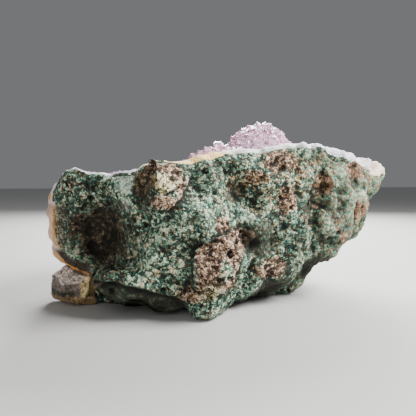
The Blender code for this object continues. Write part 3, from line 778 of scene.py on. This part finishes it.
    def open_pits(self, piece, skin, pits):
        """Round gas holes: those seen on the front, and more scattered over the stone."""
        points, normals = read(piece), read(piece, "normal")
        tree = cloud(points)
        front = np.flatnonzero((normals[:, 1] < -0.2) & (points[:, 1] < FRONT * MM))
        chosen = []
        for x, z, radius, depth in HOLES:
            off = np.hypot(points[front, 0] / MM - x, points[front, 2] / MM - z)
            chosen.append((int(front[off.argmin()]), radius, depth))
        draw = random.Random(11)
        for _ in range(pits):
            radius = 0.9 + 1.1 * draw.random() ** 3
            chosen.append((draw.randrange(len(points)), radius, radius * (0.6 + draw.random())))
        moved = points.copy()
        for centre, radius, depth in chosen:
            inwards = -Vector(normals[centre])
            for _, number, distance in tree.find_range(points[centre], radius * MM):
                share = 1 - (distance / (radius * MM)) ** 2
                step = depth * MM * share ** 0.8 * skin[number]
                moved[number] += np.array(inwards) * step
        write(piece, moved)

    def paint_masks(self, piece):
        """Where the skin is worn brown, pale, dark or rusty, where shade is painted on it, and how
        deep each point lies.
        """
        points, normals = read(piece), read(piece, "normal")
        x, y, z = (points / MM).T
        front = smooth_step(-normals[:, 1], -0.3, 0.15) * (y < 0)
        in_block = inside_outline(x, z, BLOCK_OUTLINE)
        for name, patches in PATCHES.items():
            here = patch_weight(x, z, patches)
            if name == "brown":
                here = np.maximum(here, smooth_step(in_block, -0.4, 0.4))
                here = here * (1 - np.minimum(patch_weight(x, z, (GREEN_SPOT,)), 1))
            if name == "dark":
                # Painted shade lies along the foot of the block's and the knob's edges.
                edge = np.maximum(in_block, inside_outline(x, z, KNOB_OUTLINE))
                here = np.maximum(here, smooth_step(1.1 - abs(edge + 0.9), 0, 0.8) * 0.75)
            size, seed, low, high, strength = SPREADS[name]
            spread = smooth_step(noise_at(points, size, seed), low, high) * strength
            attribute(piece, name, here * front + spread * (1 - front))
        # The slab under the belly and the patches on the underside are painted with shade.
        slab = smooth_step(inside_outline(x, z, SLAB_OUTLINE), -0.6, 1.2)
        attribute(piece, "slab", np.maximum(slab, patch_weight(x, z, UNDERSIDE)) * front)
        attribute(piece, "calm", smooth_step(x, -4, 56))
        # The lump is pale on top; its ochre face to the right is painted paler, as painted light on
        # a face in shade; it is green below with ribs at its foot.
        wobble = noise_at(points, 3, 61)
        lump = smooth_step(inside_outline(x, z, LUMP_OUTLINE) + wobble * 0.5, -0.5, 0.5)
        outside = smooth_step(-0.7 - inside_outline(x, z, FLANK), 0, 0.5) * (x < -70)
        lump = np.maximum(lump, outside * smooth_step(18 - z, 0, 2)) * (y < LUMP_BACK + 1)
        upwards = smooth_step(normals[:, 2], 0.35, 0.6)
        aside = smooth_step(x, -77, -75.5) * smooth_step(-x, 69.5, 71) * strip(z, 4, 14)
        ribs = smooth_step(5.2 + wobble * 2 - z, 0, 0.6)
        green = smooth_step(8.2 - z, 0, 1.5) * smooth_step(-x, 77, 80) * (1 - ribs)
        chalk, ochre, dusk, worn = (band * (1 - lump) for band in flank_bands(points))
        colours = blended(np.tile(linear("#7c6e65"), (len(points), 1)), (green, "#3d4034"),
                          (ribs * 0.8, "#a98a5c"), (aside * 0.9, "#f2d69c"), (upwards, "#eadace"),
                          (chalk, CHALK), (ochre, OCHRE), (dusk, DUSK), (worn, WORN))
        colour_attribute(piece, "bare_colour", colours)
        attribute(piece, "bare", np.max((lump, chalk, ochre, dusk, worn * 0.5), 0))
        # How far each point lies below its surroundings, which the material paints as shade in
        # hollows and pits.
        deep = hollows(piece, 4) * 2.0 + hollows(piece, 36) * 0.9
        attribute(piece, "hollow", 0.25 + deep * 0.55)


class STONE_OT_agate(bpy.types.Operator):
    """Models the agate band with its broken, stained edge"""

    bl_idname = "stone.agate"
    bl_label = "Agate band"

    def execute(self, context):
        settings = context.scene.agate_settings
        piece = node_copy("agate_rind", "agate_band")
        shape_with(piece, "REMESH", mode="VOXEL", voxel_size=settings.mesh_step,
                   use_smooth_shade=True)
        points, normals = read(piece), read(piece, "normal")
        from_basalt = distances(points, "basalt_matrix")
        from_crystals = distances(points, "amethyst_crust")
        bare = np.minimum(smooth_step(from_basalt, 0.4, 0.9), smooth_step(from_crystals, 0.4, 1.2))
        group(piece, "bare", bare)
        shape_with(piece, "SMOOTH", factor=0.5, iterations=8, vertex_group="bare")
        # The agate has grown onto the basalt, so it closes the gap that the solids keep.
        points = read(piece)
        points += normals * ((1 - smooth_step(from_basalt, 0.3, 0.8)) * 0.45 * MM)[:, None]
        x, y, z = (points / MM).T
        start, full, height = AGATE_RISE
        rise = smooth_step(x, start, full) * smooth_step(from_basalt, 0.5, 3) * height
        middle, wide, depth = AGATE_DIP
        dip = np.clip(1 - abs(x - middle) / wide, 0, 1) * depth
        dip = dip * (y < FRONT) * smooth_step(z, 56, 60)
        points[:, 2] += (rise - dip) * MM
        # It stays inside the broken lump.
        lump = (inside_outline(x, z, LUMP_OUTLINE) > -1) * (y < LUMP_BACK)
        for normal, through in LUMP_PLANES:
            behind = Vector(through) - Vector(normal) * 1.2
            points = press_flat(points, lump, normal, behind)
        write(piece, points)
        roughen(piece, "bare", "VORONOI", 5, -0.9)
        roughen(piece, "bare", "CLOUDS", 3, 0.7)
        self.paint_masks(piece)
        settle(piece, banded_agate(settings, context.scene.basalt_settings), "agate", "agate_rind")
        return {"FINISHED"}

    def paint_masks(self, piece):
        """The place across the band, and where it is cream, stained or under the green skin."""
        points, normals = read(piece), read(piece, "normal")
        x, y, z = (points / MM).T
        out = distances(points, "basalt_matrix")
        attribute(piece, "depth", out / AGATE_DEPTH)
        left = smooth_step(-x, 66, 78)
        attribute(piece, "cream", 0.95 * smooth_step(x, -56, -44) * smooth_step(-x, 8, 20)
                  + 0.5 * smooth_step(x, 60, 76) + 0.2 * left)
        # On the end itself the stains follow the basalt's edge; from the front, the outline.
        chalk, ochre, dusk, _ = flank_bands(points)
        facing = smooth_step(-y, 3, 6)
        end_on = left * (1 - facing) * (0.55 + 0.45 * noise_at(points, 12, 33))
        line = strip(out + noise_at(points, 6, 31), 0.9, 1.8)
        low = smooth_step(29 - z + noise_at(points, 9, 35) * 5, 0, 6)
        attribute(piece, "blush", chalk + end_on * (1 - low) * 0.8)
        attribute(piece, "dusk", dusk + end_on * low)
        attribute(piece, "ochre", ochre + end_on * line)
        steep = 1 - smooth_step(normals[:, 2], 0.45, 0.8)
        front_left = smooth_step(-x, 34, 42) * smooth_step(-y, 4, 14)
        creep = smooth_step(noise_at(points, 14, 21), -0.1, 0.4) * 0.8
        coat = np.maximum(front_left * smooth_step(1.7 - out, 0, 0.6),
                          left * smooth_step(z, 45, 50) * smooth_step(3.5 - out, 0, 0.6))
        coat = np.maximum(coat, creep * (1 - left) * smooth_step(1.9 - out, 0, 0.6))
        bands = np.max((chalk, ochre, dusk), 0)
        attribute(piece, "coat", coat * steep * (1 - bands))
        # How far each point lies below its surroundings, painted as shade.
        attribute(piece, "hollow", hollows(piece, 3) * 1.5 + hollows(piece, 15) * 0.5)


class STONE_OT_amethyst(bpy.types.Operator):
    """Models the bed of amethyst crystals, grown together into one crust"""

    bl_idname = "stone.amethyst"
    bl_label = "Amethyst crystals"

    def execute(self, context):
        settings = context.scene.amethyst_settings
        bed = node_copy("amethyst_crust", "amethyst_crystals")
        shape_with(bed, "REMESH", mode="VOXEL", voxel_size=1.5 * MM)
        shape_with(bed, "SMOOTH", factor=0.5, iterations=14)
        self.sink(bed, settings.sunk)
        kinds = [self.one_crystal(number) for number in range(5)]
        stands = self.places(bed, settings)
        shape_with(bed, "DECIMATE", ratio=0.35)
        for members in self.separate_groups(stands):
            crystals = self.joined(kinds, members)
            shape_with(bed, "BOOLEAN", operation="UNION", solver="MANIFOLD", object=crystals)
            bpy.data.objects.remove(crystals)
        x, y, z = (read(bed) / MM).T
        off_mound = smooth_step(np.hypot(x - MOUND[0], y - MOUND[1]), 20, 36)
        attribute(bed, "low", smooth_step(BOWL_EDGE - z, 0, BOWL_DEPTH) * off_mound)
        bed.data.polygons.foreach_set("use_smooth", [False] * len(bed.data.polygons))
        settle(bed, amethyst(settings), "amethyst", "amethyst_crust")
        return {"FINISHED"}

    def sink(self, bed, far):
        """Lowers the bed's top where it is thick, so that the tips reach the real surface."""
        points, normals = read(bed), read(bed, "normal")
        room = distances(points, "agate_rind") * MM
        step = np.minimum(far, room * 0.45) * smooth_step(normals[:, 2], -0.1, 0.3)
        points -= normals * step[:, None]
        x, y, _ = (points / MM).T
        upwards = smooth_step(normals[:, 2], -0.1, 0.3) * MM
        for middle_x, middle_y, long, wide, soft, height in BED_RISES:
            reach = np.hypot((x - middle_x) / long, (y - middle_y) / wide)
            points[:, 2] += smooth_step(1 - reach, 0, soft) * height * upwards
        write(bed, points)

    def one_crystal(self, number):
        """Points and faces of a six-sided crystal of radius 1, cut to a point by six planes."""
        draw = random.Random(50 + number)
        end = CRYSTAL_LENGTH / 2
        bpy.ops.object.select_all(action="DESELECT")
        bpy.ops.mesh.primitive_cylinder_add(vertices=6, radius=1, depth=CRYSTAL_LENGTH,
                                            location=(0, 0, 0))
        crystal = bpy.context.object
        bpy.ops.object.mode_set(mode="EDIT")
        for side in range(6):
            bpy.ops.mesh.select_all(action="SELECT")
            turn = math.radians(30 + 60 * side)
            # Quartz ends in faces that lean 38 degrees from its length, three larger than three.
            lean = math.radians(38 + draw.uniform(-2, 2))
            normal = (math.cos(turn) * math.cos(lean), math.sin(turn) * math.cos(lean),
                      math.sin(lean))
            back = 0.0 if side % 2 else 0.12 + 0.1 * draw.random()
            top = Vector((0, 0, end)) - Vector(normal) * (back + 0.06 * draw.random())
            bpy.ops.mesh.bisect(plane_co=top, plane_no=normal, use_fill=True, clear_outer=True)
        bpy.ops.object.mode_set(mode="OBJECT")
        points = read(crystal)
        points[:, 2] -= end
        faces = [tuple(face.vertices) for face in crystal.data.polygons]
        bpy.data.objects.remove(crystal)
        return points, faces

    def places(self, bed, settings):
        """Crystals as (foot, direction, radius, length, root), the widest first, over the bed."""
        draw = random.Random(7)
        mesh = bed.data
        solid = surface(mesh)
        ledge = self.bare_ledge()
        faces = [face for face in mesh.polygons if face.normal.z > 0.05]
        areas = np.cumsum([face.area for face in faces])
        stands, grid = [], {}
        cell = settings.widest * 2.2
        for number in range(settings.crystals * 6):
            if len(stands) >= settings.crystals:
                break
            share = number / (settings.crystals * 6)
            radius = settings.widest + (settings.narrowest - settings.widest) * share ** 0.45
            face = faces[int(np.searchsorted(areas, draw.random() * areas[-1]))]
            corners = [mesh.vertices[i].co for i in face.vertices]
            weights = [draw.random() + 0.01 for _ in corners]
            foot = sum((c * w for c, w in zip(corners, weights)), Vector()) / sum(weights)
            key = tuple(int(math.floor(c / cell)) for c in foot)
            near = [s for dx in (-1, 0, 1) for dy in (-1, 0, 1) for dz in (-1, 0, 1)
                    for s in grid.get((key[0] + dx, key[1] + dy, key[2] + dz), ())]
            if any((foot - s[0]).length < CRYSTAL_SPACING * (radius + s[2]) for s in near):
                continue
            inside = float(smooth_step(ledge.find(foot)[2] / MM, 1, 9))
            off_middle = math.hypot(foot.x / MM - MOUND[0], foot.y / MM - MOUND[1])
            mound = 1 - smooth_step(off_middle, 22, 34)
            end = smooth_step(-foot.x / MM, 56, 72)
            radius *= (0.6 + 0.4 * inside) * (1 - 0.15 * mound) * (1 - 0.25 * end)
            lean = Vector((draw.gauss(0, 0.2), draw.gauss(0, 0.2), draw.gauss(0, 0.2)))
            direction = (face.normal + lean).normalized()
            tall = (draw.uniform(0.8, 1.5) - 0.3 * mound) * (0.3 + 0.7 * inside)
            # The root ends inside the bed, however thin that is.
            far_side = solid.ray_cast(foot - direction * 0.1 * MM, -direction)[3] or radius
            stand = (foot, direction, radius, radius * tall, min(0.6 * far_side, 2 * radius))
            stands.append(stand)
            grid.setdefault(key, []).append(stand)
        return stands

    def bare_ledge(self):
        """The points of the agate's upward faces that no crystals cover."""
        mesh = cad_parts["agate_rind"].data
        points = [face.center for face in mesh.polygons if face.normal.z > 0.3]
        clear = distances(points, "amethyst_crust") > 0.8
        return cloud([point for point, is_clear in zip(points, clear) if is_clear])

    def separate_groups(self, stands):
        """Groups of crystals that stay clear of each other, so that each is a clean solid."""
        groups = []
        for stand in stands:
            for members in groups:
                if all((stand[0] - other[0]).length > GROUP_SPACING * (stand[2] + other[2])
                       for other in members):
                    members.append(stand)
                    break
            else:
                groups.append([stand])
        return groups

    def joined(self, kinds, members):
        """One mesh of these crystals, each turned another way about its own length."""
        points, faces = [], []
        for number, (foot, direction, radius, length, root) in enumerate(members):
            shape, sides = kinds[number % len(kinds)]
            turn = Matrix.Rotation(number * 2.4, 4, "Z")
            stand = direction.to_track_quat("Z", "Y").to_matrix().to_4x4() @ turn
            start = len(points)
            tip = foot + direction * length
            for point in shape:
                place = Vector(point) * radius
                # The crystal's lower end moves to where its root ends.
                if point[2] < -0.75 * CRYSTAL_LENGTH:
                    place.z = -length - root
                points.append(tip + stand @ place)
            faces.extend([tuple(start + i for i in side) for side in sides])
        mesh = bpy.data.meshes.new("crystals")
        mesh.from_pydata(points, [], faces)
        crystals = bpy.data.objects.new("crystals", mesh)
        bpy.context.scene.collection.objects.link(crystals)
        return crystals


class STONE_OT_stage(bpy.types.Operator):
    """Lays a plain pale floor, sets soft lights and the camera"""

    bl_idname = "stone.stage"
    bl_label = "Stage"

    def execute(self, context):
        settings = context.scene.stage_settings
        bpy.ops.object.select_all(action="DESELECT")
        bpy.ops.mesh.primitive_plane_add(size=settings.floor, location=(0, 0, -0.2 * MM))
        floor = context.object
        floor.name = "floor"
        material, tree = new_material("Pale painted board")
        shader = add(tree, "BsdfPrincipled", {
            "Base Color": (*linear("#c4c3c0"), 1), "Roughness": 0.7})
        add(tree, "OutputMaterial", {"Surface": shader.outputs[0]})
        floor.data.materials.append(material)
        world = bpy.data.worlds.new("soft room")
        context.scene.world = world
        world.use_nodes = True
        background = world.node_tree.nodes["Background"]
        background.inputs["Color"].default_value = ROOM_COLOUR
        background.inputs["Strength"].default_value = ROOM_LIGHT
        aim = Vector((0, 0, 45)) * MM
        lamps = (
            ("key", (300, -180, 360), 0.25, settings.key),
            ("rim", (160, 420, 330), 0.35, settings.key * 1.3),
            ("fill", (-300, -420, 200), 0.5, settings.key * 0.12),
        )
        for name, where, size, power in lamps:
            lamp = bpy.data.lights.new(name, "AREA")
            lamp.energy = power
            lamp.size = size
            self.place(lamp, where, aim - Vector(where) * MM)
        camera = bpy.data.cameras.new("camera")
        camera.sensor_width = 36
        camera.lens = 36 * CAMERA_FOCUS_PX / PICTURE_PX
        camera.clip_start = 1 * MM
        turn, dip = math.radians(CAMERA_TURN), math.radians(CAMERA_DIP)
        look = Vector((math.sin(turn) * math.cos(dip), math.cos(turn) * math.cos(dip),
                       -math.sin(dip)))
        context.scene.camera = self.place(camera, CAMERA_PLACE, look)
        return {"FINISHED"}

    def place(self, data, where, look):
        """A lamp or a camera at this place in millimetres, turned to look this way."""
        made = bpy.data.objects.new(data.name, data)
        bpy.context.scene.collection.objects.link(made)
        made.location = Vector(where) * MM
        made.rotation_euler = look.to_track_quat("-Z", "Y").to_euler()
        return made


class STONE_PT_panel(bpy.types.Panel):
    """Lists the stone's pieces and their settings"""

    bl_label = "Amethyst on matrix"
    bl_idname = "STONE_PT_panel"
    bl_space_type = "VIEW_3D"
    bl_region_type = "UI"
    bl_category = "Stone"

    def draw(self, context):
        for operator, settings in zip(OPERATORS, SETTINGS):
            box = self.layout.box()
            box.operator(operator.bl_idname)
            group_name, group_type = settings
            for name in group_type.__annotations__:
                box.prop(getattr(context.scene, group_name), name)


OPERATORS = (STONE_OT_basalt, STONE_OT_agate, STONE_OT_amethyst, STONE_OT_stage)
SETTINGS = (("basalt_settings", BasaltSettings), ("agate_settings", AgateSettings),
            ("amethyst_settings", AmethystSettings), ("stage_settings", StageSettings))


def register():
    for name, group_type in SETTINGS:
        bpy.utils.register_class(group_type)
        setattr(bpy.types.Scene, name, PointerProperty(type=group_type))
    for made in (*OPERATORS, STONE_PT_panel):
        bpy.utils.register_class(made)


def unregister():
    for made in (STONE_PT_panel, *reversed(OPERATORS)):
        bpy.utils.unregister_class(made)
    for name, group_type in reversed(SETTINGS):
        delattr(bpy.types.Scene, name)
        bpy.utils.unregister_class(group_type)


def main():
    register()
    bpy.ops.stone.basalt()
    bpy.ops.stone.agate()
    bpy.ops.stone.amethyst()
    bpy.ops.stone.stage()


if __name__ == "__main__":
    main()
